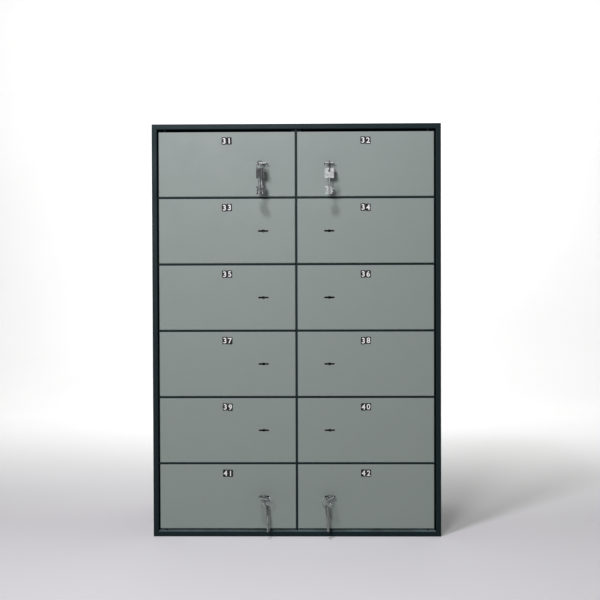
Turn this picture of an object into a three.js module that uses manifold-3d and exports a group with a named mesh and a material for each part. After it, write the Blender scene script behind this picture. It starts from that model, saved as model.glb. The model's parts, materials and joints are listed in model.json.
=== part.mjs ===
// A bank of twelve small lever-lock lockers in one sheet-steel cabinet, two columns of six.
// Millimetres, +Z up, +X to the right of a person who faces the doors, doors facing -Y.
// The origin is the middle of the underside of the base.
import * as THREE from "three";
import { mergeVertices } from "three/addons/utils/BufferGeometryUtils.js";
import Module from "manifold-3d";

const wasm = await Module();
wasm.setup();

// Cabinet
const WIDTH = 660;
const HEIGHT = 945;
const DEPTH = 450;
const ROWS = 6;
const FIRST_NUMBER = 31;
const SHEET = 1.5;
const TOUCH = 0.3; // gap left between pieces that rest on each other
const RIM_FACE = 12.5;
const RIM_RETURN = 48;
const FRONT = -DEPTH / 2;

// Doors
const DOOR_RECESS = 1;
const SIDE_CLEARANCE = 3.2; // rim to the doors, left and right
const RAIL_CLEARANCE = 5.9; // rim to the doors, above and below
const DOOR_GAP = 4.6;
const PAN_DEPTH = 14;
const PIVOT_INSET = 14; // hinge pin to the door's outer edge
const PIVOT_BACK = 5.5; // hinge pin to the door's front
const PIN_RADIUS = 2.5;
const PIN_HOLE_RADIUS = 3.1;
const PIN_REACH = 4.7; // length of the pin inside the door

// Shelves and centre divider
const NOSE = 3;
const NOSE_SETBACK = 2; // the hemmed noses sit this far behind the door fronts
const HEM_DEPTH = 15;
const SHELF_FLANGE = 12;
const COLUMN_HALF = 11;
const COLUMN_DEPTH = 35;
const CROSSING_Y = 20; // where the slots of shelf and divider meet

// Number tiles
const TILE_WIDTH = 11.4;
const TILE_HEIGHT = 16.5;
const TILE_PITCH = 11.6;
const TILE_CORNER = 2;
const TILE_PROUD = 0.8;
const TILE_DROP = 20; // door top to the middle of the tiles

// Keyhole and lock
const KEYHOLE_FROM_CENTRE = 75.5;
const KEYHOLE_LENGTH = 24;
const KEYHOLE_HEIGHT = 3.8;
const KEYHOLE_EYE = 3.4;
const KEYHOLE_CORNER = 1.7;
const LOCK_EDGE = 13.5; // case edge to the middle of the cabinet
const LOCK_LENGTH = 85;
const LOCK_HEIGHT = 60;
const LOCK_DEPTH = 30.5;
const SCREW_RADIUS = 3.5;
const SCREW_HEIGHT = 1.8;
const SCREW_INSET = 8;
const LEVERS = { start: 8, end: 40, low: 13, high: 26, clearance: 2 };
const LEVER_PIVOT = { radius: 2.2, inset: 24, height: 19 };
const GUIDE_RADIUS = 2;
const GUIDE_BEHIND_HEAD = 8;
const BOLT_TIP = 13.2;
const BOLT_HEAD = 20;
const BOLT_TAIL = 24;
const BOLT_HEIGHT = 22;
const BOLT_THICKNESS = 8;
const TAIL_THICKNESS = 3;
const TAIL_SLOT_HALF = 2.6;
const TAIL_SLOT_ENDS = [2, 3]; // solid metal before and behind the slot
const BOLT_SETBACK = 17; // door front to the bolt
const BOLT_PLAY = 0.6;

// Keys
const KEY_THICKNESS = 2.4;
const BOW_WIDTH = 22;
const BOW_LENGTH = 23;
const BOW_CORNER = 2;
const BOW_HOLE_RADIUS = 2.75;
const BOW_HOLE_INSET = 6.25;
const SHANK_RADIUS = 2.3;
const BIT_HALF = 10;
const BIT_START = 8.8; // behind the door front, with the key in the lock
const BIT_END = 26.8;
const BIT_STEPS = [0.55, 1, 0.7, 0.9, 0.6]; // reach of each step on one side, as a share of BIT_HALF
const BIT_STEP_SUM = 1.55; // a step and its partner on the other side add up to this
const KEY_TIP = 27.5;
const BOW_OUT = 32;
const RING_WIRE = 0.9;
const RING_SHIFT = 0.5;
const HOLE_BELOW_WIRE = 1;

const DOOR_FRONT = FRONT + DOOR_RECESS;
const OPENING_HALF = WIDTH / 2 - RIM_FACE;
const OPENING_HEIGHT = HEIGHT - 2 * RIM_FACE;
const DOORS_TOP = HEIGHT - RIM_FACE - RAIL_CLEARANCE;
const DOOR_WIDTH = OPENING_HALF - SIDE_CLEARANCE - DOOR_GAP / 2;
const DOOR_HEIGHT = (OPENING_HEIGHT - 2 * RAIL_CLEARANCE - (ROWS - 1) * DOOR_GAP) / ROWS;
const PITCH = DOOR_HEIGHT + DOOR_GAP;
const NOSE_FRONT = DOOR_FRONT + NOSE_SETBACK;
const NOSE_BACK = NOSE_FRONT + HEM_DEPTH - NOSE_SETBACK;
const COLUMN_BACK = NOSE_BACK + COLUMN_DEPTH;
const PIVOT_X = OPENING_HALF - SIDE_CLEARANCE - PIVOT_INSET;
const PIVOT_Y = DOOR_FRONT + PIVOT_BACK;
const INSIDE_HALF = WIDTH / 2 - SHEET - TOUCH;
const INSIDE_BACK = DEPTH / 2 - SHEET - TOUCH;
const RETURN_BACK = FRONT + RIM_RETURN + TOUCH;

const paint = (colour, roughness, metalness) =>
  new THREE.MeshStandardMaterial({ color: colour, roughness, metalness });
const FINISH = {
  carcass: paint("#3a484b", 0.55, 0.1),
  door: paint("#8f9894", 0.5, 0.15),
  lock: paint("#a9aba8", 0.4, 0.8),
  brass: paint("#b59a5b", 0.35, 0.9),
  nickel: paint("#c9c8c2", 0.25, 1),
};

// Booleans between closed three.js geometries.
function solid(geometry) {
  const bare = geometry.clone();
  bare.deleteAttribute("normal");
  bare.deleteAttribute("uv");
  const merged = mergeVertices(bare, 1e-4);
  return new wasm.Manifold(
    new wasm.Mesh({
      numProp: 3,
      vertProperties: new Float32Array(merged.attributes.position.array),
      triVerts: new Uint32Array(merged.index.array),
    }),
  );
}

function geometryOf(body) {
  const mesh = body.getMesh();
  const geometry = new THREE.BufferGeometry();
  geometry.setAttribute("position", new THREE.BufferAttribute(mesh.vertProperties, 3));
  geometry.setIndex(new THREE.BufferAttribute(mesh.triVerts, 1));
  const flat = geometry.toNonIndexed();
  flat.computeVertexNormals();
  return flat;
}

const union = (...bodies) => bodies.reduce((all, body) => all.add(body));
const cut = (body, ...tools) => tools.reduce((left, tool) => left.subtract(tool), body);

function block(x, y, z) {
  const geometry = new THREE.BoxGeometry(x[1] - x[0], y[1] - y[0], z[1] - z[0]);
  geometry.translate((x[0] + x[1]) / 2, (y[0] + y[1]) / 2, (z[0] + z[1]) / 2);
  return solid(geometry);
}

// A round bar along Z.
function post(radius, x, y, z, sides = 12) {
  const geometry = new THREE.CylinderGeometry(radius, radius, z[1] - z[0], sides);
  geometry.rotateX(Math.PI / 2);
  geometry.translate(x, y, (z[0] + z[1]) / 2);
  return solid(geometry);
}

// A round bar along Y.
function stud(radius, x, y, z, sides = 10) {
  const geometry = new THREE.CylinderGeometry(radius, radius, y[1] - y[0], sides);
  geometry.translate(x, (y[0] + y[1]) / 2, z);
  return solid(geometry);
}

// A shape drawn in the X-Z plane and given a thickness along Y.
function plateInXZ(shape, y) {
  const geometry = new THREE.ExtrudeGeometry(shape, {
    depth: y[1] - y[0],
    bevelEnabled: false,
    curveSegments: 1,
  });
  geometry.rotateX(Math.PI / 2);
  geometry.translate(0, y[1], 0);
  return solid(geometry);
}

function roundedRectangle(width, height, corner) {
  const x = width / 2;
  const y = height / 2;
  const shape = new THREE.Shape();
  shape.moveTo(-x + corner, -y);
  shape.lineTo(x - corner, -y);
  shape.absarc(x - corner, -y + corner, corner, -Math.PI / 2, 0);
  shape.lineTo(x, y - corner);
  shape.absarc(x - corner, y - corner, corner, 0, Math.PI / 2);
  shape.lineTo(-x + corner, y);
  shape.absarc(-x + corner, y - corner, corner, Math.PI / 2, Math.PI);
  shape.lineTo(-x, -y + corner);
  shape.absarc(-x + corner, -y + corner, corner, Math.PI, 1.5 * Math.PI);
  return shape;
}

// One of the four outer panels: a sheet whose front is folded in to make the rim and folded back
// behind it. The ends are mitred like a picture frame's, so the outer face is `span` long.
function foldedPanel(span) {
  const outline = new THREE.Shape();
  outline.moveTo(FRONT, 0);
  outline.lineTo(DEPTH / 2, 0);
  outline.lineTo(DEPTH / 2, SHEET);
  outline.lineTo(FRONT + SHEET, SHEET);
  outline.lineTo(FRONT + SHEET, RIM_FACE - SHEET);
  outline.lineTo(FRONT + RIM_RETURN, RIM_FACE - SHEET);
  outline.lineTo(FRONT + RIM_RETURN, RIM_FACE);
  outline.lineTo(FRONT, RIM_FACE);
  outline.closePath();
  const geometry = new THREE.ExtrudeGeometry(outline, { depth: 1, bevelEnabled: false });
  const place = geometry.attributes.position;
  for (let i = 0; i < place.count; i++) {
    const inset = place.getY(i);
    const reach = span / 2 - TOUCH / 2 - inset;
    place.setZ(i, place.getZ(i) > 0.5 ? reach : -reach);
  }
  // drawn as (Y, inset, along): turned so that `along` runs in X and the inset in +Z
  const turned = new THREE.Matrix4().set(0, 0, 1, 0, 1, 0, 0, 0, 0, 1, 0, 0, 0, 0, 0, 1);
  geometry.applyMatrix4(turned);
  return solid(geometry);
}

const gapHeight = (row) => DOORS_TOP - row * PITCH + DOOR_GAP / 2;
const doorMiddle = (row) => DOORS_TOP - row * PITCH - DOOR_HEIGHT / 2;

function hingePins(z) {
  return union(...[-1, 1].map((side) => post(PIN_RADIUS, side * PIVOT_X, PIVOT_Y, z)));
}

function basePanel() {
  const pins = hingePins([RIM_FACE - SHEET / 2, RIM_FACE + RAIL_CLEARANCE + PIN_REACH]);
  return union(foldedPanel(WIDTH), pins);
}

function sidePanel() {
  return foldedPanel(HEIGHT);
}

function backPanel() {
  const wide = [-INSIDE_HALF, INSIDE_HALF];
  const tall = [SHEET + TOUCH, HEIGHT - SHEET - TOUCH];
  return block(wide, [DEPTH / 2 - SHEET, DEPTH / 2], tall);
}

// A full-width shelf, drawn about the middle of its hemmed nose. Its front half is slotted for
// the centre divider, whose back half is slotted for the shelf.
function shelf() {
  const top = NOSE / 2;
  const frontHalf = OPENING_HALF - TOUCH;
  const hem = [-top, top];
  const tray = cut(
    block([-INSIDE_HALF, INSIDE_HALF], [RETURN_BACK, INSIDE_BACK], [top - SHELF_FLANGE, top]),
    block(
      [SHEET - INSIDE_HALF, INSIDE_HALF - SHEET],
      [RETURN_BACK - 1, INSIDE_BACK - SHEET],
      [-SHELF_FLANGE, 0],
    ),
  );
  const body = union(
    tray,
    block([-frontHalf, frontHalf], [NOSE_FRONT, RETURN_BACK + 1], [0, top]),
    block([-frontHalf, frontHalf], [NOSE_FRONT, NOSE_FRONT + HEM_DEPTH], hem),
    hingePins([-DOOR_GAP / 2 - PIN_REACH, DOOR_GAP / 2 + PIN_REACH]),
  );
  const through = [-SHELF_FLANGE - 1, NOSE];
  const slot = (half, y) => block([-half - TOUCH, half + TOUCH], y, through);
  return cut(
    body,
    slot(NOSE / 2, [NOSE_FRONT - 1, NOSE_BACK]),
    slot(COLUMN_HALF, [NOSE_BACK - TOUCH, COLUMN_BACK + TOUCH]),
    slot(SHEET / 2, [COLUMN_BACK, CROSSING_Y + TOUCH / 2]),
  );
}

// The upright between the columns: a hemmed nose, a hollow post that takes the bolts of both
// columns, and the sheet behind it.
function centreDivider() {
  const low = RIM_FACE + TOUCH;
  const high = HEIGHT - RIM_FACE - TOUCH;
  const hollow = COLUMN_HALF - SHEET;
  let body = union(
    block([-NOSE / 2, NOSE / 2], [NOSE_FRONT, NOSE_BACK + SHEET], [low, high]),
    cut(
      block([-COLUMN_HALF, COLUMN_HALF], [NOSE_BACK, COLUMN_BACK], [low, high]),
      block([-hollow, hollow], [NOSE_BACK + SHEET, COLUMN_BACK - SHEET], [0, HEIGHT]),
    ),
    block(
      [-SHEET / 2, SHEET / 2],
      [COLUMN_BACK - SHEET / 2, INSIDE_BACK],
      [SHEET + TOUCH, HEIGHT - SHEET - TOUCH],
    ),
  );
  const boltY = DOOR_FRONT + BOLT_SETBACK;
  const slotY = [boltY - BOLT_PLAY, boltY + BOLT_THICKNESS + BOLT_PLAY];
  const slotHalf = BOLT_HEIGHT / 2 + BOLT_PLAY;
  for (let row = 0; row < ROWS; row++) {
    const z = doorMiddle(row);
    body = cut(body, block([-COLUMN_HALF - 1, COLUMN_HALF + 1], slotY, [z - slotHalf, z + slotHalf]));
  }
  for (let row = 1; row < ROWS; row++) {
    const z = gapHeight(row);
    const room = [z - TOUCH, z + NOSE / 2 + TOUCH];
    body = cut(body, block([-NOSE, NOSE], [CROSSING_Y - TOUCH / 2, DEPTH / 2], room));
    const flange = [z + NOSE / 2 - SHELF_FLANGE - TOUCH, z + NOSE / 2 + TOUCH];
    body = cut(body, block([-NOSE, NOSE], [INSIDE_BACK - SHEET - TOUCH, DEPTH / 2], flange));
  }
  return body;
}

// The keyhole: a level slot with a round eye for the shank.
function keyhole(x, y) {
  const bar = roundedRectangle(KEYHOLE_LENGTH, KEYHOLE_HEIGHT, KEYHOLE_CORNER);
  const slot = plateInXZ(bar, y).translate([x, 0, 0]);
  return union(slot, stud(KEYHOLE_EYE, x, y, 0));
}

// A folded steel pan, drawn about the middle of its front. `inward` is +1 on a left-hand door and
// -1 on a right-hand one: the way to the middle of the cabinet.
function door(inward) {
  const x = DOOR_WIDTH / 2;
  const z = DOOR_HEIGHT / 2;
  const keyX = inward * (x + DOOR_GAP / 2 - KEYHOLE_FROM_CENTRE);
  const tiles = [-1, 1].map((side) => {
    const outline = roundedRectangle(TILE_WIDTH, TILE_HEIGHT, TILE_CORNER);
    const tile = plateInXZ(outline, [-TILE_PROUD, SHEET / 2]);
    return tile.translate([(side * TILE_PITCH) / 2, 0, z - TILE_DROP]);
  });
  const pan = cut(
    block([-x, x], [0, PAN_DEPTH], [-z, z]),
    block([SHEET - x, x - SHEET], [SHEET, PAN_DEPTH + 1], [SHEET - z, z - SHEET]),
    post(PIN_HOLE_RADIUS, -inward * (x - PIVOT_INSET), PIVOT_BACK, [-z - 1, z + 1]),
    keyhole(keyX, [-1, SHEET + 1]),
  );
  return union(pan, ...tiles);
}

// Two distances from the middle of the cabinet, as a span in X about the keyhole, for a lock whose
// bolt leaves towards `inward`.
function spanFromCentre(near, far, inward) {
  const ends = [near, far].map((distance) => inward * (KEYHOLE_FROM_CENTRE - distance));
  return ends.sort((a, b) => a - b);
}

// A lever lock's case with its cover screws, lever pack and bolt guide, drawn about the keyhole at
// the door's front.
function lockCase(inward) {
  const span = (near, far) => spanFromCentre(near, far, inward);
  const across = (distance) => inward * (KEYHOLE_FROM_CENTRE - distance);
  const front = SHEET + TOUCH;
  const back = front + LOCK_DEPTH;
  const half = LOCK_HEIGHT / 2;
  const far = LOCK_EDGE + LOCK_LENGTH;
  const wall = [front + SHEET / 2, back - SHEET / 2];
  const boltY = [BOLT_SETBACK - BOLT_PLAY, BOLT_SETBACK + BOLT_THICKNESS + BOLT_PLAY];
  const boltHalf = BOLT_HEIGHT / 2 + BOLT_PLAY;
  const inside = [front + SHEET, back - SHEET];
  const shell = cut(
    block(span(LOCK_EDGE, far), [front, back], [-half, half]),
    block(span(LOCK_EDGE + SHEET, far - SHEET), inside, [SHEET - half, half - SHEET]),
    block(span(LOCK_EDGE - 1, LOCK_EDGE + 2 * SHEET), boltY, [-boltHalf, boltHalf]),
    keyhole(0, [0, front + SHEET + 1]),
  );
  const screws = [LOCK_EDGE + SCREW_INSET, far - SCREW_INSET].flatMap((x) =>
    [-1, 1].map((up) =>
      stud(SCREW_RADIUS, across(x), [back - SHEET, back + SCREW_HEIGHT], up * (half - SCREW_INSET)),
    ),
  );
  const guide = stud(GUIDE_RADIUS, across(BOLT_TIP + BOLT_HEAD + GUIDE_BEHIND_HEAD), wall, 0);
  const levers = block(
    span(LOCK_EDGE + LEVERS.start, LOCK_EDGE + LEVERS.end),
    [front + SHEET + LEVERS.clearance, BOLT_SETBACK - LEVERS.clearance - 1],
    [LEVERS.low, LEVERS.high],
  );
  const pivotX = across(LOCK_EDGE + LEVER_PIVOT.inset);
  const pivot = stud(LEVER_PIVOT.radius, pivotX, wall, LEVER_PIVOT.height);
  return union(shell, ...screws, guide, levers, pivot);
}

// The bolt, drawn about the keyhole like the case: a thick head and a slotted tail.
function bolt(inward) {
  const span = (near, far) => spanFromCentre(near, far, inward);
  const half = BOLT_HEIGHT / 2;
  const neck = BOLT_TIP + BOLT_HEAD;
  const end = neck + BOLT_TAIL;
  const back = BOLT_SETBACK + BOLT_THICKNESS;
  const [before, behind] = TAIL_SLOT_ENDS;
  return cut(
    union(
      block(span(BOLT_TIP, neck), [BOLT_SETBACK, back], [-half, half]),
      block(span(neck - 1, end), [back - TAIL_THICKNESS, back], [-half, half]),
    ),
    block(
      span(neck + before, end - behind),
      [BOLT_SETBACK, back + 1],
      [-TAIL_SLOT_HALF, TAIL_SLOT_HALF],
    ),
  );
}

// A flat steel key with a square bow and a bit on both sides, lying along Y with its bow at -Y and
// its origin where the door's front is when it is in the lock.
function key() {
  const flat = (shape) => {
    const geometry = new THREE.ExtrudeGeometry(shape, {
      depth: KEY_THICKNESS,
      bevelEnabled: false,
      curveSegments: 1,
    });
    geometry.translate(0, 0, -KEY_THICKNESS / 2);
    return solid(geometry);
  };
  const bow = flat(roundedRectangle(BOW_WIDTH, BOW_LENGTH, BOW_CORNER));
  const holeY = BOW_HOLE_INSET - BOW_OUT;
  const head = cut(
    bow.translate([0, BOW_LENGTH / 2 - BOW_OUT, 0]),
    post(BOW_HOLE_RADIUS, 0, holeY, [-KEY_THICKNESS, KEY_THICKNESS], 14),
  );
  const step = (BIT_END - BIT_START) / BIT_STEPS.length;
  const wings = [-1, 1].map((side) => {
    const wing = new THREE.Shape();
    wing.moveTo(0, BIT_START);
    BIT_STEPS.forEach((reach, i) => {
      const depth = side * BIT_HALF * (side > 0 ? reach : BIT_STEP_SUM - reach);
      wing.lineTo(depth, BIT_START + i * step);
      wing.lineTo(depth, BIT_START + (i + 1) * step);
    });
    wing.lineTo(0, BIT_END);
    wing.closePath();
    return flat(wing);
  });
  const shank = stud(SHANK_RADIUS, 0, [BOW_LENGTH - BOW_OUT - 2, KEY_TIP], 0);
  return union(head, shank, ...wings);
}

const KEY_BODY = key();

// What hangs in the four locks that have a key. `tilt` turns the key in its lock. The ring's
// `radius` is to the middle of its wire, `drop` is how far its middle hangs below the key, and
// `facing` is 0 where the front sees it edge-on. A spare key hangs `along` the ring from its lowest
// point, is turned about its own length by `turn`, leans in its own plane and sways out of it.
const SMALL_RING = { radius: 10.9, drop: 6.4 };
const LARGE_RING = { radius: 12.5, drop: 7.6 };
const KEYED = {
  31: {
    tilt: 0,
    ring: { ...SMALL_RING, facing: -40 },
    spares: [
      { turn: -52, lean: 1, sway: 0, along: 2.2 },
      { turn: -52, lean: -7, sway: 0, along: -3 },
    ],
  },
  32: {
    tilt: 0,
    ring: { ...SMALL_RING, facing: 0 },
    spares: [{ turn: 0, lean: 0, sway: 0, along: 0 }],
  },
  41: {
    tilt: -8,
    ring: { ...LARGE_RING, facing: 52 },
    spares: [{ turn: 78, lean: 0, sway: -4, along: 0 }],
  },
  42: {
    tilt: 25,
    ring: { ...LARGE_RING, facing: -52 },
    spares: [{ turn: -78, lean: 0, sway: 3, along: 0 }],
  },
};

const degrees = THREE.MathUtils.degToRad;

function addPiece(group, name, body, finish) {
  const mesh = new THREE.Mesh(geometryOf(body), finish);
  mesh.name = name;
  group.add(mesh);
  return mesh;
}

// A key in its lock, its ring through the bow and the spare keys on the ring.
function addKeys(group, number, { tilt, ring, spares }) {
  addPiece(group, `key_${number}`, KEY_BODY, FINISH.nickel).rotation.y = -degrees(tilt);
  const facing = degrees(ring.facing);
  const out = new THREE.Vector3(Math.sin(facing), -Math.cos(facing), 0);
  const holeY = BOW_HOLE_INSET - BOW_OUT;
  const reach = Math.sqrt(ring.radius ** 2 - ring.drop ** 2);
  const centre = new THREE.Vector3(0, holeY, -ring.drop).addScaledVector(out, reach - RING_SHIFT);
  const loop = new THREE.TorusGeometry(ring.radius, RING_WIRE, 6, 24);
  loop.rotateY(Math.PI / 2);
  loop.rotateZ(facing);
  addPiece(group, `ring_${number}`, solid(loop), FINISH.nickel).position.copy(centre);
  spares.forEach(({ turn, lean, sway, along }, i) => {
    const hang = new THREE.Group();
    hang.position.copy(centre).addScaledVector(out, along);
    hang.position.z -= Math.sqrt(ring.radius ** 2 - along ** 2);
    hang.rotation.set(degrees(sway), degrees(lean), degrees(turn), "ZYX");
    const suffix = spares.length > 1 ? "ab"[i] : "";
    const spare = addPiece(hang, `spare_key_${number}${suffix}`, KEY_BODY, FINISH.nickel);
    spare.rotation.x = -Math.PI / 2;
    spare.position.z = -HOLE_BELOW_WIRE - (BOW_OUT - BOW_HOLE_INSET);
    group.add(hang);
  });
}

const locker = new THREE.Group();

const shell = [
  ["base_panel", basePanel(), 0],
  ["right_side", sidePanel(), 90],
  ["top_panel", basePanel(), 180],
  ["left_side", sidePanel(), 270],
];
for (const [name, body, angle] of shell) {
  const panel = addPiece(locker, name, body, FINISH.carcass);
  const upright = angle % 180 === 90;
  panel.rotation.y = -degrees(angle);
  panel.position.z = HEIGHT / 2 - Math.cos(degrees(angle)) * (HEIGHT / 2);
  panel.position.x = upright ? Math.sin(degrees(angle)) * (WIDTH / 2) : 0;
}
addPiece(locker, "back_panel", backPanel(), FINISH.carcass);
addPiece(locker, "centre_divider", centreDivider(), FINISH.carcass);
const SHELF_BODY = shelf();
for (let row = 1; row < ROWS; row++) {
  addPiece(locker, `shelf_${row}`, SHELF_BODY, FINISH.carcass).position.z = gapHeight(row);
}

for (const inward of [1, -1]) {
  const doorBody = door(inward);
  const caseBody = lockCase(inward);
  const boltBody = bolt(inward);
  for (let row = 0; row < ROWS; row++) {
    const number = FIRST_NUMBER + 2 * row + (inward > 0 ? 0 : 1);
    const z = doorMiddle(row);
    const middle = new THREE.Group();
    middle.position.set(-inward * (DOOR_GAP / 2 + DOOR_WIDTH / 2), DOOR_FRONT, z);
    addPiece(middle, `door_${number}`, doorBody, FINISH.door);
    const atKeyhole = new THREE.Group();
    atKeyhole.position.set(-inward * KEYHOLE_FROM_CENTRE, DOOR_FRONT, z);
    addPiece(atKeyhole, `lock_${number}`, caseBody, FINISH.lock);
    addPiece(atKeyhole, `bolt_${number}`, boltBody, FINISH.brass);
    if (KEYED[number]) {
      addKeys(atKeyhole, number, KEYED[number]);
    }
    locker.add(middle, atKeyhole);
  }
}

export default locker;
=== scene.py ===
# A bank of twelve key lockers: folded-steel doors in a dark powder-coated cabinet, with keys left
# in four of the locks. Metres, in the row's frame: +Z up, the doors facing -Y.
import json
import math

import bmesh
import bpy
from mathutils import Matrix, Vector


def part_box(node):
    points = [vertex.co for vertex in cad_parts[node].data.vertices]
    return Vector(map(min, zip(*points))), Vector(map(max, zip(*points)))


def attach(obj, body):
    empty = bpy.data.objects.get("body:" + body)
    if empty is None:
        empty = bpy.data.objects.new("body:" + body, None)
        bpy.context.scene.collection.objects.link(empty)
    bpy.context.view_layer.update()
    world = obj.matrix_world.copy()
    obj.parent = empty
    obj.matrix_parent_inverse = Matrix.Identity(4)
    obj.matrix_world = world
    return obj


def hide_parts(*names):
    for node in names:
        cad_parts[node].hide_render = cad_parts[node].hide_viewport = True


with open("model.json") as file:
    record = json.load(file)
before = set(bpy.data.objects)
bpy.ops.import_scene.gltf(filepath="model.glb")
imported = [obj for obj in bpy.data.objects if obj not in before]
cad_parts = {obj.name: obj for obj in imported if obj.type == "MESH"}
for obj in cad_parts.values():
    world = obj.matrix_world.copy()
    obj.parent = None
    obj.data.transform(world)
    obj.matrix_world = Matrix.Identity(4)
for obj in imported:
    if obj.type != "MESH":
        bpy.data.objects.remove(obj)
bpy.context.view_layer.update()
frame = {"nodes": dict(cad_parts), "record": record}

MM = 0.001
RECORD = frame["record"]
JOINTS = {joint["name"]: joint for joint in RECORD["behaviour"]["joints"]}
NUMBERS = sorted(int(name.split("_")[1]) for name in frame["nodes"] if name.startswith("door_"))

# Sheet metal
SHEET = 1.5 * MM
BEND = 2.0 * MM  # outside radius of a fold
RIM_FACE = 12.5 * MM
RIM_RETURN = 48 * MM
SILL_RISE = 4.2 * MM  # the base's fold slopes up behind the rim, under the bottom doors
SILL_DEPTH = 12 * MM
MITRE_GAP = 0.3 * MM
PAN_DEPTH = 14 * MM
PAN_CORNER = 1.0 * MM
RAW_EDGE = 0.3 * MM
PIN_HOLE = 3.1 * MM
PIN_RADIUS = 2.53 * MM
PIN_CHAMFER = 0.5 * MM
PIN_REACH = 4.7 * MM
PIN_LENGTH = 14 * MM
PIN_BACK = 5.5 * MM

# Keyhole and lock
KEYHOLE_LENGTH = 24 * MM
KEYHOLE_HEIGHT = 3.8 * MM
KEYHOLE_EYE = 3.4 * MM
KEYHOLE_FROM_CASE_END = 23 * MM
KEYHOLE_CHAMFER = 0.35 * MM
COVER_SCREW_HEIGHT = 1.8 * MM
COVER_SCREW_INSET = 8 * MM
# Heads as (radius, height above the cover)
SCREW_HEAD = [(3.4 * MM, 0), (3.4 * MM, 0.7 * MM), (2.9 * MM, 1.3 * MM), (1.6 * MM, 1.7 * MM)]
RIVET_HEAD = [(2.4 * MM, 0), (2.2 * MM, 0.5 * MM), (1.2 * MM, 0.9 * MM)]
RIVET_ASIDE = (18 * MM, 19 * MM)  # the second rivet's place, from the middle of the cover
CROSS_ARM = 2.1 * MM  # half the length of a screw's cross slot
CROSS_WIDTH = 0.35 * MM  # and half its width
CROSS_DEPTH = 1.6 * MM
BOLT_ROOM = 0.6 * MM

# Number tiles
TILE = (11.4 * MM, 16.5 * MM)
TILE_PITCH = 11.6 * MM
TILE_CORNER = 2 * MM
TILE_PROUD = 0.8 * MM
TILE_DROP = 20 * MM
DIGIT_HEIGHT = 12.4 * MM
DIGIT_PROUD = 0.12 * MM
DIGIT_SWELL = 0.28 * MM
DIGIT_SUNK = 0.02 * MM
CAPITAL_SHARE = 0.72  # a digit's height in the type's own size
TILE_TURN = 1.6  # degrees that a tile may be out of true
TILE_SLIP = 0.45 * MM  # and how far it may be out of line

# Keys
KEY_THICKNESS = 2.4 * MM
BOW = (22 * MM, 23 * MM)
BOW_OUT = 32 * MM
BOW_HOLE = 2.75 * MM
BOW_HOLE_INSET = 6.25 * MM
SHANK = 2.3 * MM
BIT_HALF = 10 * MM
BIT_START = 8.8 * MM
BIT_END = 26.8 * MM
BIT_STEPS = (0.55, 1, 0.7, 0.9, 0.6)  # reach of each step on one side, as a share of BIT_HALF
BIT_STEP_SUM = 1.55  # a step and its partner on the other side add up to this
BIT_INSET = 0.1 * MM  # the bit is this much thinner than the bow on each face
COLLAR = 0.7 * MM  # how far the collar stands out from the shank
KEY_TIP = 27.5 * MM
HOLE_BELOW_WIRE = 1 * MM
RING_WIRE = 0.9 * MM
RING_SEAM = 70  # where the ring's open ends are, in degrees round it
RING_STEPS = 120  # along the wire's two turns, with RING_AROUND round the wire
RING_AROUND = 10
CROSSOVER = (0.47, 0.06)  # where along the wire it steps across, and over how much of it
STRAND_PRESS = (0.92, 0.96)  # how far the strands are pressed, outwards and together
KEY_TILT = {31: 0, 32: 0, 41: -8, 42: 25}
# How each spare key hangs, in degrees: its turn about its own length, its lean and its sway.
SPARE_HANG = {
    "spare_key_31a": (-52, 1, 0),
    "spare_key_31b": (-52, -7, 0),
    "spare_key_32": (0, 0, 0),
    "spare_key_41": (78, 0, -4),
    "spare_key_42": (-78, 0, 3),
}

# Camera
CAMERA_PLACE = (0.058, -3.0, 0.599)
CAMERA_LENS = 72.9
CAMERA_TURN = 1.03  # degrees, as are the next two
CAMERA_DIP = -1.158
CAMERA_ROLL = 0.17


# ---------------------------------------------------------------- materials

def node(tree, kind, links=None, values=None, **settings):
    """A shader node with its settings made, its inputs set and its links drawn."""
    made = tree.nodes.new(kind)
    for key, value in settings.items():
        setattr(made, key, value)
    for key, value in (values or {}).items():
        made.inputs[key].default_value = value
    for key, source in (links or {}).items():
        tree.links.new(source, made.inputs[key])
    return made


def new_group(name, inputs, outputs):
    """An empty node group with float inputs (name: default) and the outputs named."""
    group = bpy.data.node_groups.new(name, "ShaderNodeTree")
    for label, default in inputs.items():
        socket = group.interface.new_socket(label, in_out="INPUT", socket_type="NodeSocketFloat")
        socket.default_value = default
    for label in outputs:
        group.interface.new_socket(label, in_out="OUTPUT", socket_type="NodeSocketFloat")
    return group, group.nodes.new("NodeGroupInput"), group.nodes.new("NodeGroupOutput")


def math_node(tree, operation, first, second):
    """A Math node whose two inputs are sockets or plain numbers."""
    made = tree.nodes.new("ShaderNodeMath")
    made.operation = operation
    for slot, source in enumerate((first, second)):
        if isinstance(source, (int, float)):
            made.inputs[slot].default_value = source
        else:
            tree.links.new(source, made.inputs[slot])
    return made.outputs[0]


def ramp(tree, source, low, high, out_low=0.0, out_high=1.0):
    """A socket's value carried from the range low..high to out_low..out_high."""
    made = node(tree, "ShaderNodeMapRange", {"Value": source})
    made.inputs["From Min"].default_value = low
    made.inputs["From Max"].default_value = high
    made.inputs["To Min"].default_value = out_low
    made.inputs["To Max"].default_value = out_high
    return made.outputs["Result"]


def noise(tree, place, scale, detail=2.0, rough=0.5, stretch=None):
    """Noise over the piece's own coordinates, stretched along an axis if asked."""
    if stretch:
        place = node(tree, "ShaderNodeMapping", {"Vector": place}, {"Scale": stretch}).outputs[0]
    made = node(
        tree, "ShaderNodeTexNoise", {"Vector": place}, {"Detail": detail, "Roughness": rough}
    )
    if isinstance(scale, (int, float)):
        made.inputs["Scale"].default_value = scale
    else:
        tree.links.new(scale, made.inputs["Scale"])
    return made.outputs["Fac"]


def coordinates(tree):
    return tree.nodes.new("ShaderNodeTexCoord").outputs["Object"]


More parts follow.
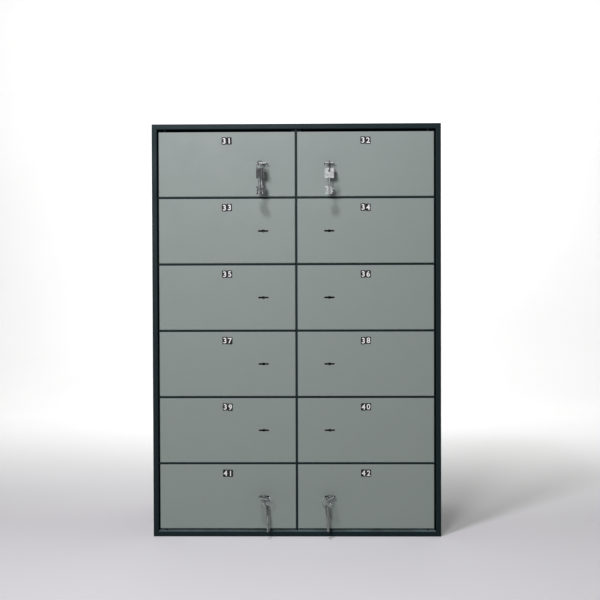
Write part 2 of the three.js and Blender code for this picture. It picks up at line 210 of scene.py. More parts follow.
def make_powder_grain():
    """The orange-peel skin and fine speckle of powder paint."""
    group, start, end = new_group(
        "powder grain", {"Peel Size": 900.0, "Grain Size": 2600.0, "Peel": 0.6}, ["Height", "Speckle"]
    )
    place = coordinates(group)
    peel = noise(group, place, start.outputs["Peel Size"], 1.5, 0.45)
    grain = noise(group, place, start.outputs["Grain Size"], 1.0, 0.5)
    weighed = math_node(group, "MULTIPLY", peel, start.outputs["Peel"])
    group.links.new(math_node(group, "ADD", weighed, grain), end.inputs["Height"])
    group.links.new(ramp(group, grain, 0.35, 0.65), end.inputs["Speckle"])
    return group


def make_edge_wear():
    """A mask of the edges that hands and keys rub, broken up by noise."""
    group, start, end = new_group(
        "edge wear", {"Width": 0.8 * MM, "Break Up": 220.0}, ["Edge"]
    )
    place = coordinates(group)
    soft = node(group, "ShaderNodeBevel", samples=4)
    group.links.new(start.outputs["Width"], soft.inputs["Radius"])
    hard = group.nodes.new("ShaderNodeNewGeometry")
    facing = node(
        group,
        "ShaderNodeVectorMath",
        {0: soft.outputs[0], 1: hard.outputs["Normal"]},
        operation="DOT_PRODUCT",
    )
    turned = ramp(group, facing.outputs["Value"], 0.985, 0.90)
    patches = ramp(group, noise(group, place, start.outputs["Break Up"], 3.0, 0.6), 0.45, 0.68)
    group.links.new(math_node(group, "MULTIPLY", turned, patches), end.inputs["Edge"])
    return group


def make_settled_dust():
    """A mask of dust on faces that look up. Given a large share, as on the base's ledge, it is painted
    light: it lightens those up-facing faces as a lamp would.
    """
    group, start, end = new_group("settled dusting and painted upward light", {"Patch Size": 9.0}, ["Dust"])
    place = coordinates(group)
    surface = group.nodes.new("ShaderNodeNewGeometry")
    split = node(group, "ShaderNodeSeparateXYZ", {0: surface.outputs["Normal"]})
    upward = ramp(group, split.outputs["Z"], 0.55, 0.88)
    cloud = noise(group, place, start.outputs["Patch Size"], 4.0, 0.6)
    patches = ramp(group, cloud, 0.3, 0.75, 0.25, 1.0)
    group.links.new(math_node(group, "MULTIPLY", upward, patches), end.inputs["Dust"])
    return group


def make_fine_scratches():
    """Long thin scratches in two directions, and the broad handling marks between them."""
    group, start, end = new_group("fine scratches", {"Scale": 300.0}, ["Scratch", "Handling"])
    place = coordinates(group)
    along = noise(group, place, start.outputs["Scale"], 2.0, 0.6, stretch=(1.0, 0.06, 0.06))
    across = noise(group, place, start.outputs["Scale"], 2.0, 0.6, stretch=(0.05, 0.9, 1.0))
    first = ramp(group, along, 0.58, 0.66)
    second = ramp(group, across, 0.60, 0.68)
    group.links.new(math_node(group, "MAXIMUM", first, second), end.inputs["Scratch"])
    broad = noise(group, place, 60.0, 3.0, 0.55)
    group.links.new(ramp(group, broad, 0.3, 0.7), end.inputs["Handling"])
    return group


GROUPS = {
    "grain": make_powder_grain(),
    "wear": make_edge_wear(),
    "dust_and_light": make_settled_dust(),
    "scratches": make_fine_scratches(),
}


def effect(tree, name, **values):
    """One of the shared groups placed in a material, with its own values."""
    made = tree.nodes.new("ShaderNodeGroup")
    made.node_tree = GROUPS[name]
    for key, value in values.items():
        made.inputs[key.replace("_", " ")].default_value = value
    return made.outputs


def blend_colour(tree, mask, below, above):
    """Colour below where the mask is 0 and above where it is 1; each a colour or a socket."""
    made = tree.nodes.new("ShaderNodeMix")
    made.data_type = "RGBA"
    for socket, source in (("Factor", mask), ("A", below), ("B", above)):
        target = next(s for s in made.inputs if s.name == socket and s.enabled)
        if isinstance(source, tuple):
            target.default_value = (*source, 1.0)
        elif isinstance(source, (int, float)):
            target.default_value = source
        else:
            tree.links.new(source, target)
    return next(s for s in made.outputs if s.enabled)


def start_material(name):
    material = bpy.data.materials.new(name)
    material.use_nodes = True
    tree = material.node_tree
    return material, tree, tree.nodes["Principled BSDF"]


def bump(tree, shader, height, distance, strength=1.0):
    made = node(
        tree, "ShaderNodeBump", {"Height": height}, {"Distance": distance, "Strength": strength}
    )
    tree.links.new(made.outputs[0], shader.inputs["Normal"])


# the colour of dust, and of the painted light on the base's ledge
DUST_AND_LEDGE_LIGHT_TONE = (0.22, 0.30, 0.31)


def powder_paint(
    name, dark, light, rough, gloss, sheen, bare, depth, peel, dust_and_light_share, dust_and_light_above=None
):
    """Powder paint: speckled colour, orange-peel skin, rubbed edges and a little dust, which can
    be kept to what lies above a height. With a large share, that mask of up-facing faces is painted
    light: it lightens them as a lamp would."""
    material, tree, shader = start_material(name)
    shader.inputs["Specular IOR Level"].default_value = gloss
    shader.inputs["Specular Tint"].default_value = (*sheen, 1.0)
    grain = effect(tree, "grain", Peel=peel)
    mottle = noise(tree, coordinates(tree), 14.0, 3.0, 0.6)
    fine = math_node(tree, "MULTIPLY", grain["Speckle"], 0.65)
    shade = math_node(tree, "ADD", fine, math_node(tree, "MULTIPLY", mottle, 0.35))
    colour = blend_colour(tree, shade, dark, light)
    worn = effect(tree, "wear")["Edge"]
    colour = blend_colour(tree, math_node(tree, "MULTIPLY", worn, 0.55), colour, bare)
    dust_and_light = effect(tree, "dust_and_light")["Dust"]
    if dust_and_light_above:
        height = node(tree, "ShaderNodeSeparateXYZ", {0: coordinates(tree)}).outputs["Z"]
        dust_and_light = math_node(tree, "MULTIPLY", dust_and_light, ramp(tree, height, dust_and_light_above - 2 * MM, dust_and_light_above))
    # painted light where the share is large: up-facing faces blended towards this pale blue-grey look
    # lit from above
    colour = blend_colour(tree, math_node(tree, "MULTIPLY", dust_and_light, dust_and_light_share), colour, DUST_AND_LEDGE_LIGHT_TONE)
    tree.links.new(colour, shader.inputs["Base Color"])
    tree.links.new(ramp(tree, mottle, 0.3, 0.7, rough[0], rough[1]), shader.inputs["Roughness"])
    bump(tree, shader, grain["Height"], depth)
    return material


def plated_metal(name, bright, dull, rough, scratch_scale, depth, worn=None):
    """Plated or bare metal with duller handling marks and scratches."""
    material, tree, shader = start_material(name)
    shader.inputs["Metallic"].default_value = 1.0
    marks = effect(tree, "scratches", Scale=scratch_scale)
    colour = blend_colour(tree, marks["Handling"], bright, dull)
    if worn:
        colour = blend_colour(tree, effect(tree, "wear", Width=0.5 * MM)["Edge"], colour, worn)
    tree.links.new(colour, shader.inputs["Base Color"])
    base = ramp(tree, marks["Handling"], 0.0, 1.0, rough[0], rough[1])
    scored = math_node(tree, "MULTIPLY", marks["Scratch"], 0.12)
    tree.links.new(math_node(tree, "ADD", base, scored), shader.inputs["Roughness"])
    bump(tree, shader, marks["Scratch"], depth, 0.6)
    return material


def label_plastic(name, dark, light, rough, gloss):
    """The thin plastic of the number tiles and of the digits on them."""
    material, tree, shader = start_material(name)
    shader.inputs["Specular IOR Level"].default_value = gloss
    marks = effect(tree, "scratches", Scale=500.0)
    tree.links.new(blend_colour(tree, marks["Handling"], dark, light), shader.inputs["Base Color"])
    tree.links.new(ramp(tree, marks["Handling"], 0.0, 1.0, *rough), shader.inputs["Roughness"])
    bump(tree, shader, marks["Scratch"], 0.02 * MM)
    return material


SLATE = {
    "dark": (0.0018, 0.0078, 0.0092),
    "light": (0.0036, 0.0118, 0.0132),
    "rough": (0.42, 0.52),
    "gloss": 0.19,
    "sheen": (0.82, 0.96, 1.0),
    "bare": (0.05, 0.06, 0.06),
    "depth": 0.05 * MM,
    "peel": 0.7,
}
SLATE_PAINT = powder_paint("slate powder paint", **SLATE, dust_and_light_share=0.03)
# the base's ledge lies under the bottom doors: dust gathers there, and the strong blend on its
# up-facing faces is also painted light, a lit band standing in for the lamps
DUST_AND_LEDGE_LIGHT_SLATE = powder_paint(
    "dusted slate powder paint with painted ledge light", **SLATE, dust_and_light_share=0.95, dust_and_light_above=RIM_FACE - 1 * MM
)
DOOR_PAINT = powder_paint(
    "grey door powder paint",
    dark=(0.205, 0.241, 0.222),
    light=(0.235, 0.274, 0.253),
    rough=(0.46, 0.56),
    gloss=0.4,
    sheen=(1.0, 1.0, 1.0),
    bare=(0.34, 0.37, 0.36),
    depth=0.045 * MM,
    peel=0.8,
    dust_and_light_share=0.03,
)
LOCK_ZINC = plated_metal(
    "zinc-plated lock steel", (0.58, 0.58, 0.56), (0.42, 0.42, 0.40), (0.30, 0.46), 260.0, 0.02 * MM
)
BOLT_BRASS = plated_metal(
    "bolt brass", (0.72, 0.55, 0.27), (0.50, 0.37, 0.18), (0.28, 0.42), 320.0, 0.02 * MM,
    worn=(0.85, 0.70, 0.40),
)
KEY_NICKEL = plated_metal(
    "key nickel", (0.37, 0.385, 0.38), (0.27, 0.28, 0.275), (0.44, 0.56), 420.0, 0.01 * MM,
    worn=(0.46, 0.47, 0.45),
)
RING_STEEL = plated_metal(
    "ring spring steel", (0.36, 0.365, 0.36), (0.26, 0.265, 0.26), (0.34, 0.46), 500.0, 0.004 * MM
)
SCREW_STEEL = plated_metal(
    "cover screw steel", (0.55, 0.55, 0.54), (0.35, 0.35, 0.34), (0.25, 0.40), 380.0, 0.01 * MM
)
TILE_BLACK = label_plastic(
    "black tile plastic", (0.004, 0.004, 0.005), (0.009, 0.009, 0.010), (0.45, 0.60), 0.2
)
DIGIT_WHITE = label_plastic(
    "white digit print", (0.78, 0.78, 0.76), (0.86, 0.86, 0.84), (0.45, 0.60), 0.4
)


# ---------------------------------------------------------------- outlines and meshes

def arc(centre, radius, start, end, steps):
    """Points on an arc, ends included, angles in degrees."""
    turns = [math.radians(start + (end - start) * i / steps) for i in range(steps + 1)]
    return [(centre[0] + radius * math.cos(t), centre[1] + radius * math.sin(t)) for t in turns]


def rounded_rectangle(width, height, corner, steps=4):
    """Anticlockwise, about the origin."""
    x, y = width / 2 - corner, height / 2 - corner
    corners = [((x, -y), -90), ((x, y), 0), ((-x, y), 90), ((-x, -y), 180)]
    return [point for c, a in corners for point in arc(c, corner, a, a + 90, steps)]


def inset_outline(outline, distance):
    """Each point moved to the left of the way the outline runs, into the material."""
    moved = []
    for i, here in enumerate(outline):
        before = Vector(here) - Vector(outline[i - 1])
        after = Vector(outline[(i + 1) % len(outline)]) - Vector(here)
        left_a = Vector((-before.y, before.x)).normalized()
        left_b = Vector((-after.y, after.x)).normalized()
        middle = (left_a + left_b).normalized()
        reach = distance / max(0.4, middle.dot(left_a))
        moved.append((here[0] + middle.x * reach, here[1] + middle.y * reach))
    return moved


def loop_of(bm, points, depth, place):
    return [bm.verts.new(place(x, y, depth)) for x, y in points]


def bridge(bm, first, second):
    """Quads between two loops with the same number of points."""
    count = len(first)
    for i in range(count):
        k = (i + 1) % count
        bm.faces.new((first[i], first[k], second[k], second[i]))


def fill(bm, loops):
    """A flat face inside the first loop and outside the others."""
    edges = []
    for loop in loops:
        for i, vert in enumerate(loop):
            after = loop[(i + 1) % len(loop)]
            edges.append(bm.edges.get((vert, after)) or bm.edges.new((vert, after)))
    bmesh.ops.triangle_fill(bm, use_beauty=True, use_dissolve=False, edges=edges)


def flat_xy(x, y, z):
    return (x, y, z)


def flat_xz(x, z, y):
    return (x, y, z)


def plate(bm, outlines, low, high, edge, place=flat_xy):
    """A flat plate with rounded edges: the first outline is its outside, anticlockwise, and any
    others are holes, clockwise."""
    tops, bottoms = [], []
    for outline in outlines:
        rings = []
        for inset, depth in (
            (edge, low), (0.3 * edge, low + 0.3 * edge), (0, low + edge),
            (0, high - edge), (0.3 * edge, high - 0.3 * edge), (edge, high),
        ):
            rings.append(loop_of(bm, inset_outline(outline, inset), depth, place))
        for first, second in zip(rings, rings[1:]):
            bridge(bm, first, second)
        bottoms.append(rings[0])
        tops.append(rings[-1])
    fill(bm, bottoms)
    fill(bm, tops)


def turned(bm, profile, steps=32, place=flat_xy):
    """A solid of revolution about the local Z axis from (radius, height) points, closed with
    flat ends."""
    rings = [
        [bm.verts.new(place(*(radius * Vector((math.cos(a), math.sin(a)))), height))
         for a in (2 * math.pi * i / steps for i in range(steps))]
        for radius, height in profile
    ]
    for first, second in zip(rings, rings[1:]):
        bridge(bm, first, second)
    bm.faces.new(list(reversed(rings[0])))
    bm.faces.new(rings[-1])


def along_y(x, y, z):
    """Turns a solid of revolution so that its axis runs along Y."""
    return (x, z, y)


def box(bm, low, high, edge=0.0, steps=2):
    """A block with rounded edges."""
    size = Vector(high) - Vector(low)
    middle = (Vector(high) + Vector(low)) / 2
    placed = Matrix.Translation(middle) @ Matrix.Diagonal((*size, 1.0))
    made = bmesh.ops.create_cube(bm, size=1.0, matrix=placed)["verts"]
    if edge:
        edges = {e for v in made for e in v.link_edges}
        bmesh.ops.bevel(bm, geom=list(edges), offset=edge, segments=steps, profile=0.5, affect="EDGES")


def mesh_from(bm, name, sharp=40):
    """The mesh of bm, smooth but for edges sharper than `sharp` degrees."""
    bmesh.ops.remove_doubles(bm, verts=bm.verts, dist=1e-7)
    bmesh.ops.recalc_face_normals(bm, faces=bm.faces)
    mesh = bpy.data.meshes.new(name)
    bm.to_mesh(mesh)
    bm.free()
    mesh.shade_smooth()
    mesh.set_sharp_from_angle(angle=math.radians(sharp))
    return mesh


def cut(mesh, tool):
    """The mesh with the tool's mesh cut out of it."""
    whole = bpy.data.objects.new("whole", mesh)
    knife = bpy.data.objects.new("knife", tool)
    for helper in (whole, knife):
        bpy.context.scene.collection.objects.link(helper)
    work = whole.modifiers.new("cut", "BOOLEAN")
    work.operation = "DIFFERENCE"
    work.solver = "EXACT"
    work.object = knife
    result = bpy.data.meshes.new_from_object(whole.evaluated_get(bpy.context.evaluated_depsgraph_get()))
    bpy.data.objects.remove(whole)
    bpy.data.objects.remove(knife)
    return result


def add_piece(name, mesh, material, body, at=None, stands_for=(), weighted=True):
    """A piece of the object: a copy of the mesh put in its place in the row's frame."""
    own = mesh.copy()
    own.name = name
    if at is not None:
        own.transform(at)
    own.materials.clear()
    own.materials.append(material)
    piece = bpy.data.objects.new(name, own)
    bpy.context.scene.collection.objects.link(piece)
    if weighted:
        piece.modifiers.new("flat faces stay flat", "WEIGHTED_NORMAL").keep_sharp = True
    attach(piece, body)
    if stands_for:
        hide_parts(*stands_for)
    return piece


def refine_node(name, material, edge):
    """A CAD node kept as it is, with softened edges and its finish."""
    piece = frame["nodes"][name]
    piece.data.materials.clear()
    piece.data.materials.append(material)
    piece.modifiers.new("join corners", "WELD").merge_threshold = 0.01 * MM
    soften = piece.modifiers.new("soft edges", "BEVEL")
    soften.width = edge
    soften.segments = 2
    soften.limit_method = "ANGLE"
    soften.angle_limit = math.radians(40)
    piece.modifiers.new("flat faces stay flat", "WEIGHTED_NORMAL").keep_sharp = True


# ---------------------------------------------------------------- cabinet

def folded_panel_mesh(span, depth, rise=0.0):
    """One outer panel with its front folded in and back, mitred at both ends. It lies with its
    outer face on Z = 0, its front at -Y and its length along X. The fold can rise behind the rim."""
    front = -depth / 2
    inner = BEND - SHEET
    rim = RIM_FACE
    outline = [
        (depth / 2, 0),
        *[(y, z) for y, z in arc((front + BEND, BEND), BEND, 270, 180, 5)],
        *[(y, z) for y, z in arc((front + BEND, rim - BEND), BEND, 180, 90, 5)],
        (front + SILL_DEPTH, rim + rise),
        (front + RIM_RETURN, rim + rise),
        (front + RIM_RETURN, rim + rise - SHEET),
        (front + SILL_DEPTH, rim + rise - SHEET),
        *[(y, z) for y, z in arc((front + BEND, rim - BEND), inner, 90, 180, 3)],
        *[(y, z) for y, z in arc((front + BEND, BEND), inner, 180, 270, 3)],
        (depth / 2, SHEET),
    ]
    bm = bmesh.new()
    ends = []
    for side in (-1, 1):
        ends.append([bm.verts.new((side * (span / 2 - MITRE_GAP / 2 - z), y, z)) for y, z in outline])
    bridge(bm, *ends)
    for end in ends:
        fill(bm, [end])
    return mesh_from(bm, "folded panel", sharp=30)


def make_cabinet():
    low, high = Vector(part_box("base_panel")[0]), Vector(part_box("top_panel")[1])
    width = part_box("right_side")[1].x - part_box("left_side")[0].x
    height = high.z - low.z
    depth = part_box("back_panel")[1].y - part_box("base_panel")[0].y
    across = folded_panel_mesh(width, depth)
    sill = folded_panel_mesh(width, depth, SILL_RISE)
    upright = folded_panel_mesh(height, depth)
    middle = Vector((0, (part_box("back_panel")[1].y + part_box("base_panel")[0].y) / 2, height / 2))
    for name, mesh, angle, reach in (
        ("base_panel", sill, 0, height / 2),
        ("right_side", upright, 90, width / 2),
        ("top_panel", across, 180, height / 2),
        ("left_side", upright, 270, width / 2),
    ):
        turn = Matrix.Rotation(math.radians(-angle), 4, "Y")
        at = Matrix.Translation(middle) @ turn @ Matrix.Translation((0, 0, -reach))
        # the base panel carries the dust and the painted light of its ledge
        paint = DUST_AND_LEDGE_LIGHT_SLATE if name == "base_panel" else SLATE_PAINT
        add_piece(f"{name}_folded", mesh, paint, "cabinet", at, [name])
    refine_node("back_panel", SLATE_PAINT, 0.4 * MM)
    refine_node("centre_divider", SLATE_PAINT, 0.5 * MM)
    for name in frame["nodes"]:
        if name.startswith("shelf_"):
            refine_node(name, SLATE_PAINT, 0.5 * MM)


def make_hinge_pins():
    """The painted pins that carry the doors, through each nose and the rim's returns."""
    top_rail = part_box("top_panel")[1].z - RIM_FACE
    bottom_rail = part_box("base_panel")[0].z + RIM_FACE
    noses = [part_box(name)[1].z for name in sorted(frame["nodes"]) if name.startswith("shelf_")]
    spans = [(high - PIN_LENGTH, high) for high in noses]
    spans.append((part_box("door_31")[1].z - PIN_REACH, top_rail + RAW_EDGE))
    spans.append((bottom_rail - RAW_EDGE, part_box("door_41")[0].z + PIN_REACH))
    for number in (31, 32):
        x, y, _ = JOINTS[f"door_hinge_{number}"]["pos_m"]
        bm = bmesh.new()
        for low, high in spans:
            profile = [
                (PIN_RADIUS - PIN_CHAMFER, low),
                (PIN_RADIUS, low + PIN_CHAMFER),
                (PIN_RADIUS, high - PIN_CHAMFER),
                (PIN_RADIUS - PIN_CHAMFER, high),
            ]
            turned(bm, profile, 20, lambda px, py, pz: (x + px, y + py, pz))
        side = "left" if x < 0 else "right"
        pins = mesh_from(bm, "hinge pins")
        add_piece(f"hinge_pins_{side}", pins, SLATE_PAINT, "cabinet")


# ---------------------------------------------------------------- doors

def keyhole_outline(x, grow=0.0):
    """The keyhole about (x, 0), clockwise: a slot with rounded ends and a round eye."""
    half, rise, eye = KEYHOLE_LENGTH / 2 + grow, KEYHOLE_HEIGHT / 2 + grow, KEYHOLE_EYE + grow
    meet = math.degrees(math.asin(rise / eye))
    end = half - rise
    points = [
        *arc((-end, 0), rise, 270, 90, 6),
        *arc((0, 0), eye, 180 - meet, meet, 8),
        *arc((end, 0), rise, 90, -90, 6),
        *arc((0, 0), eye, -meet, meet - 180, 8),
    ]
    return [(x + px, py) for px, py in points]


def door_pan_mesh(size, key_x, pin_x):
    """A folded pan about the middle of its front, with its keyhole and its two pin holes."""
    bm = bmesh.new()
    inner = BEND - SHEET
    steps = [(BEND - BEND * math.sin(a), BEND - BEND * math.cos(a)) for a in
             (math.radians(18 * i) for i in range(6))]
    steps += [(0, PAN_DEPTH - RAW_EDGE), (RAW_EDGE, PAN_DEPTH), (SHEET - RAW_EDGE, PAN_DEPTH),
              (SHEET, PAN_DEPTH - RAW_EDGE)]
    steps += [(BEND - inner * math.cos(a), BEND - inner * math.sin(a)) for a in
              (math.radians(30 * i) for i in range(4))]
    rings = [
        loop_of(bm, rounded_rectangle(size.x - 2 * i, size.z - 2 * i, PAN_CORNER, 3), y, flat_xz)
        for i, y in steps
    ]
    for first, second in zip(rings, rings[1:]):
        bridge(bm, first, second)
    holes = [
        loop_of(bm, keyhole_outline(key_x, grow), y, flat_xz)
        for grow, y in ((KEYHOLE_CHAMFER, 0), (0.3 * KEYHOLE_CHAMFER, 0.3 * KEYHOLE_CHAMFER),
                        (0, KEYHOLE_CHAMFER), (0, SHEET))
    ]
    for first, second in zip(holes, holes[1:]):
        bridge(bm, first, second)
    fill(bm, [rings[0], holes[0]])
    fill(bm, [rings[-1], holes[-1]])
    pan = mesh_from(bm, "door pan", sharp=35)
    drill = bmesh.new()
    reach = size.z
    at_pin = lambda x, y, z: (pin_x + x, PIN_BACK + y, z)
    turned(drill, [(PIN_HOLE, -reach), (PIN_HOLE, reach)], 24, at_pin)
    return cut(pan, mesh_from(drill, "pin drill"))


def tile_mesh():
    bm = bmesh.new()
    plate(bm, [rounded_rectangle(*TILE, TILE_CORNER, 5)], -TILE_PROUD, 0, RAW_EDGE, flat_xz)
    return mesh_from(bm, "number tile", sharp=50)


def digit_mesh(character):
    """A raised digit about its own middle, standing on X with its face to -Y."""
    text = bpy.data.curves.new("digit", "FONT")
    text.body = character
    text.size = DIGIT_HEIGHT / CAPITAL_SHARE
    text.extrude = DIGIT_PROUD / 2
    text.offset = DIGIT_SWELL
    text.resolution_u = 6
    holder = bpy.data.objects.new("digit", text)
    bpy.context.scene.collection.objects.link(holder)
    mesh = bpy.data.meshes.new_from_object(holder.evaluated_get(bpy.context.evaluated_depsgraph_get()))
    bpy.data.objects.remove(holder)
    xs = [v.co.x for v in mesh.vertices]
    ys = [v.co.y for v in mesh.vertices]
    centre = Vector(((min(xs) + max(xs)) / 2, (min(ys) + max(ys)) / 2, 0))
    mesh.transform(Matrix.Rotation(math.radians(90), 4, "X") @ Matrix.Translation(-centre))
    return mesh


def make_number(number, front, middle_x, top):
    """The two tiles of a locker's number, stuck on by hand a little unevenly."""
    body = f"door_{number}"
    for side, character in zip((-1, 1), str(number)):
        shake = math.sin(number * 12.9898 + side * 4.137)
        tilt = Matrix.Rotation(math.radians(TILE_TURN * shake), 4, "Y")
        drop = TILE_DROP + TILE_SLIP * math.sin(number * 3.71 + side)
        at = Matrix.Translation((middle_x + side * TILE_PITCH / 2, front, top - drop)) @ tilt
        label = "tens" if side < 0 else "units"
        add_piece(f"{body}_tile_{label}", TILE_MESH, TILE_BLACK, body, at)
        raised = Matrix.Translation((0, -TILE_PROUD - DIGIT_PROUD / 2 + DIGIT_SUNK, 0))
        add_piece(f"{body}_digit_{label}", digit_mesh(character), DIGIT_WHITE, body,
                  at @ raised, weighted=False)


def make_doors():
    pans = {}
    for number in NUMBERS:
        low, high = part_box(f"door_{number}")
        front = high.y - PAN_DEPTH
        middle = Vector(((low.x + high.x) / 2, front, (low.z + high.z) / 2))
        key = keyhole_place(number)
        pin_x = JOINTS[f"door_hinge_{number}"]["pos_m"][0]
        side = "left" if middle.x < 0 else "right"
        if side not in pans:
            pans[side] = door_pan_mesh(high - low, key.x - middle.x, pin_x - middle.x)
        at = Matrix.Translation(middle)
        name = f"door_{number}"
        add_piece(f"{name}_pan", pans[side], DOOR_PAINT, name, at, [name])
        make_number(number, front, middle.x, high.z)


# ---------------------------------------------------------------- locks

def keyhole_place(number):
    """Where the keyhole's middle is on the door's front."""
    low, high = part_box(f"lock_{number}")
    outer = low.x + KEYHOLE_FROM_CASE_END if low.x < 0 else high.x - KEYHOLE_FROM_CASE_END
    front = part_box(f"door_{number}")[1].y - PAN_DEPTH
    return Vector((outer, front, (low.z + high.z) / 2))


def make_lock_meshes(low, high, bolt_low, bolt_high, key):
    """The case, cover and screws of a lock, in the row's frame for the lock whose box is given."""
    cover_face = high.y - COVER_SCREW_HEIGHT
    case = bmesh.new()
    box(case, low, (high.x, cover_face - SHEET, high.z), 1.2 * MM, 3)
    wall = Vector((SHEET, SHEET, SHEET))
    room = bmesh.new()
    box(room, low + wall, (high.x - SHEET, high.y, high.z - SHEET))
    slot = bmesh.new()
    play = Vector((BOLT_ROOM, BOLT_ROOM, BOLT_ROOM))
    box(slot, bolt_low - play, bolt_high + play)
    entry = bmesh.new()
    plate(entry, [keyhole_outline(key.x)[::-1]], low.y - SHEET, low.y + 2 * SHEET, RAW_EDGE,
          lambda x, z, y: (x, y, key.z + z))
    hollow = cut(mesh_from(case, "lock case", 35), mesh_from(room, "case room"))
    hollow = cut(hollow, mesh_from(slot, "bolt slot"))
    hollow = cut(hollow, mesh_from(entry, "key entry"))
    cover = bmesh.new()
    size = high - low
    outline = rounded_rectangle(size.x - 0.6 * MM, size.z - 0.6 * MM, 3 * MM, 5)
    plate(cover, [outline], cover_face - SHEET, cover_face, 0.35 * MM, flat_xz)
    middle = (low + high) / 2
    cover_mesh = mesh_from(cover, "lock cover", 50)
    cover_mesh.transform(Matrix.Translation((middle.x, 0, middle.z)))
    screws = bmesh.new()
    inset = COVER_SCREW_INSET
    for x in (low.x + inset, high.x - inset):
        for z in (low.z + inset, high.z - inset):
            turned(screws, SCREW_HEAD, 24, lambda px, py, pz: (x + px, cover_face + pz, z + py))
    aside, up = RIVET_ASIDE
    for x, z in ((middle.x, middle.z), (middle.x - aside, middle.z + up)):
        turned(screws, RIVET_HEAD, 20, lambda px, py, pz: (x + px, cover_face + pz, z + py))
    screws_mesh = mesh_from(screws, "cover screws", 50)
    slots = bmesh.new()
    for x in (low.x + inset, high.x - inset):
        for z in (low.z + inset, high.z - inset):
            spot = Vector((x, cover_face + CROSS_DEPTH, z))
            turn = Matrix.Translation(spot) @ Matrix.Rotation(x * 900 + z * 500, 4, "Y")
            for half in ((CROSS_ARM, CROSS_WIDTH), (CROSS_WIDTH, CROSS_ARM)):
                cross = Matrix.Diagonal((2 * half[0], CROSS_DEPTH, 2 * half[1], 1.0))
                bmesh.ops.create_cube(slots, size=1.0, matrix=turn @ cross)
    return hollow, cover_mesh, cut(screws_mesh, mesh_from(slots, "screw slots"))


def make_locks():
    """The twelve locks, made once for each side and moved up to their doors."""
    made = {}
    for number in NUMBERS:
        low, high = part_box(f"lock_{number}")
        side = "left" if low.x < 0 else "right"
        if side not in made:
            bolt_low, bolt_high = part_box(f"bolt_{number}")
            meshes = make_lock_meshes(low, high, bolt_low, bolt_high, keyhole_place(number))
            made[side] = (meshes, low.z)
        (case, cover, screws), first_z = made[side]
        at = Matrix.Translation((0, 0, low.z - first_z))
        body = f"door_{number}"
        name = f"lock_{number}"
        add_piece(f"{name}_case", case, LOCK_ZINC, body, at, [name])
        add_piece(f"{name}_cover", cover, LOCK_ZINC, body, at)
        add_piece(f"{name}_screws", screws, SCREW_STEEL, body, at)
        refine_node(f"bolt_{number}", BOLT_BRASS, 0.4 * MM)


# ---------------------------------------------------------------- keys

def key_mesh():
    """A flat key lying along Y, its bow at -Y, with a round shank and a notched bit."""
    bm = bmesh.new()
    half = KEY_THICKNESS / 2
    bow_middle = BOW[1] / 2 - BOW_OUT
    bow = [(x, y + bow_middle) for x, y in rounded_rectangle(*BOW, 2.2 * MM, 5)]
    hole_y = BOW_HOLE_INSET - BOW_OUT
    hole = arc((0, hole_y), BOW_HOLE, 360, 15, 23)
    plate(bm, [bow, hole], -half, half, 0.35 * MM)
    profile = [
        (SHANK, BOW[1] - BOW_OUT - SHEET),
        (SHANK, -4 * MM),
        (SHANK + COLLAR, -3.6 * MM),
        (SHANK + COLLAR, -2.2 * MM),
        (SHANK, -1.8 * MM),
        (SHANK, KEY_TIP - 0.8 * MM),
        (SHANK - 0.8 * MM, KEY_TIP),
    ]
    turned(bm, profile, 20, along_y)
    step = (BIT_END - BIT_START) / len(BIT_STEPS)
    for side in (-1, 1):
        points = [(0, BIT_START)]
        for i, share in enumerate(BIT_STEPS):
            reach = side * BIT_HALF * (share if side > 0 else BIT_STEP_SUM - share)
            points += [(reach, BIT_START + i * step), (reach, BIT_START + (i + 1) * step)]
        points.append((0, BIT_END))
        outline = points if side > 0 else points[::-1]
        plate(bm, [outline], -half + BIT_INSET, half - BIT_INSET, 0.2 * MM)
    return mesh_from(bm, "key", 45)


def ring_mesh(radius, wire):
    """A split ring in the X-Z plane: two turns of wire side by side with a step between them."""
    bm = bmesh.new()
    strand = wire / 2
    start, length = CROSSOVER
    outward, together = STRAND_PRESS
    rings = []
    for i in range(RING_STEPS + 1):
        along = i / RING_STEPS
        angle = 4 * math.pi * along
        step = min(1.0, max(0.0, (along - start) / length))
        side = strand * (2 * step - 1) * together
        out = Vector((math.cos(angle), 0, math.sin(angle)))
        section = []
        for k in range(RING_AROUND):
            turn = 2 * math.pi * k / RING_AROUND
            across = Vector((0, side + strand * math.sin(turn), 0))
            reach = radius + wire * outward * math.cos(turn)
            section.append(bm.verts.new(out * reach + across))
        rings.append(section)
    for first, second in zip(rings, rings[1:]):
        bridge(bm, first, second)
    bm.faces.new(list(reversed(rings[0])))
    bm.faces.new(rings[-1])
    return mesh_from(bm, "split ring", 50)


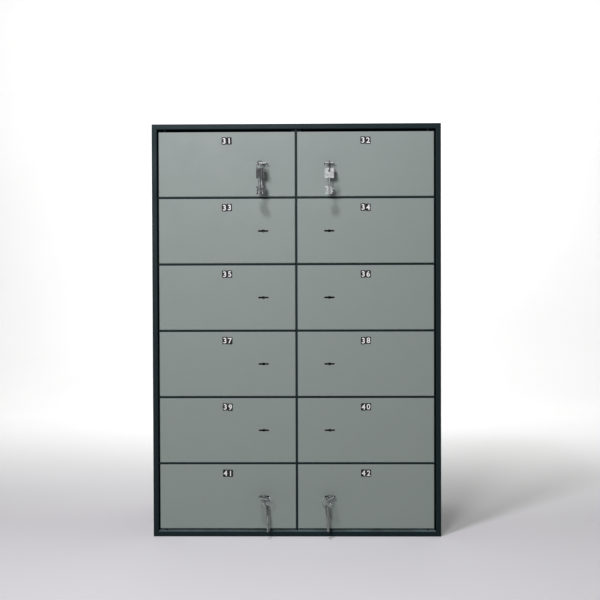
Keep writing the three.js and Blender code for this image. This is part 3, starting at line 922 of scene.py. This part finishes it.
def make_keys():
    key = key_mesh()
    upright = Matrix.Rotation(math.radians(-90), 4, "X")
    hang_drop = Matrix.Translation((0, 0, -HOLE_BELOW_WIRE - (BOW_OUT - BOW_HOLE_INSET)))
    for number, tilt in KEY_TILT.items():
        name = f"key_{number}"
        at = Matrix.Translation(keyhole_place(number)) @ Matrix.Rotation(math.radians(-tilt), 4, "Y")
        add_piece(f"{name}_cut", key, KEY_NICKEL, name, at, [name])
        ring = f"ring_{number}"
        low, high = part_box(ring)
        radius = (high.z - low.z) / 2 - RING_WIRE
        axis = Vector(JOINTS[f"ring_swing_{number}"]["axis"])
        facing = math.atan2(axis.y, axis.x)
        at = Matrix.Translation((low + high) / 2) @ Matrix.Rotation(facing, 4, "Z")
        at = at @ Matrix.Rotation(math.radians(RING_SEAM), 4, "Y")
        add_piece(f"{ring}_split", ring_mesh(radius, RING_WIRE), RING_STEEL, ring, at, [ring])
    for name, (turn, lean, sway) in SPARE_HANG.items():
        spot = Vector(JOINTS[name.replace("spare_key", "spare_swing")]["pos_m"])
        hang = Matrix.Rotation(math.radians(turn), 4, "Z")
        hang = hang @ Matrix.Rotation(math.radians(lean), 4, "Y")
        hang = hang @ Matrix.Rotation(math.radians(sway), 4, "X")
        at = Matrix.Translation(spot) @ hang @ hang_drop @ upright
        add_piece(f"{name}_cut", key, KEY_NICKEL, name, at, [name])


# ---------------------------------------------------------------- stage

def make_stage():
    """A pale floor that sweeps up into a backdrop."""
    bm = bmesh.new()
    near, far, rise, sweep = -7.0, 2.6, 5.5, 1.4
    section = [(near, 0), (far, 0)]
    section += [(far + y, z + sweep) for y, z in arc((0, 0), sweep, -90, 0, 12)]
    section.append((far + sweep, rise))
    half = 6.0
    left = [bm.verts.new((-half, y, z)) for y, z in section]
    right = [bm.verts.new((half, y, z)) for y, z in section]
    for i in range(len(section) - 1):
        bm.faces.new((left[i], right[i], right[i + 1], left[i + 1]))
    mesh = mesh_from(bm, "studio sweep", 60)
    floor = bpy.data.objects.new("studio_sweep", mesh)
    material, tree, shader = start_material("pale studio paper")
    tone = noise(tree, coordinates(tree), 3.0, 2.0, 0.5)
    paper = blend_colour(tree, tone, (0.80, 0.80, 0.795), (0.84, 0.84, 0.835))
    tree.links.new(paper, shader.inputs["Base Color"])
    shader.inputs["Roughness"].default_value = 0.9
    shader.inputs["Emission Color"].default_value = (1.0, 1.0, 1.0, 1.0)
    shader.inputs["Emission Strength"].default_value = 0.14
    mesh.materials.append(material)
    bpy.context.scene.collection.objects.link(floor)


def add_light(name, place, aim, size, power, colour=(1, 1, 1)):
    """A rectangular lamp at a place, turned towards another; its power is in watts."""
    light = bpy.data.lights.new(name, "AREA")
    light.shape = "RECTANGLE"
    light.size, light.size_y = size
    light.energy = power
    light.color = colour
    lamp = bpy.data.objects.new(name, light)
    lamp.location = place
    lamp.rotation_euler = (Vector(aim) - Vector(place)).to_track_quat("-Z", "Y").to_euler()
    bpy.context.scene.collection.objects.link(lamp)


def make_lights():
    """A small lamp overhead, a softer one in front and a wide one for the backdrop."""
    cool = (1.0, 0.94, 1.06)
    add_light("overhead lamp", (-0.29, -1.12, 1.93), (0, -0.22, 0.7), (0.2, 0.2), 15.3, cool)
    add_light("front lamp", (-0.60, -3.4, 1.35), (0, -0.2, 0.5), (0.5, 0.5), 49)
    add_light("backdrop lamp", (0, 1.3, 2.6), (0, 3.6, 1.4), (3.0, 0.6), 105)
    world = bpy.data.worlds.new("studio air")
    world.use_nodes = True
    air = world.node_tree.nodes["Background"]
    air.inputs["Color"].default_value = (1.0, 1.0, 1.0, 1.0)
    air.inputs["Strength"].default_value = 0.02
    bpy.context.scene.world = world
    bpy.context.scene.view_settings.view_transform = "Standard"


def make_camera():
    """A long lens straight ahead, a little above the middle of the cabinet."""
    camera = bpy.data.cameras.new("camera")
    camera.sensor_width = 36
    camera.lens = CAMERA_LENS
    holder = bpy.data.objects.new("camera", camera)
    turn = Matrix.Rotation(math.radians(CAMERA_TURN), 4, "Z")
    dip = Matrix.Rotation(math.radians(CAMERA_DIP), 4, "X")
    roll = Matrix.Rotation(math.radians(CAMERA_ROLL), 4, "Y")
    level = Matrix.Rotation(math.radians(90), 4, "X")
    holder.matrix_world = Matrix.Translation(CAMERA_PLACE) @ turn @ dip @ roll @ level
    bpy.context.scene.collection.objects.link(holder)
    bpy.context.scene.camera = holder


make_camera()
TILE_MESH = tile_mesh()
make_cabinet()
make_hinge_pins()
make_doors()
make_locks()
make_keys()
make_stage()
make_lights()
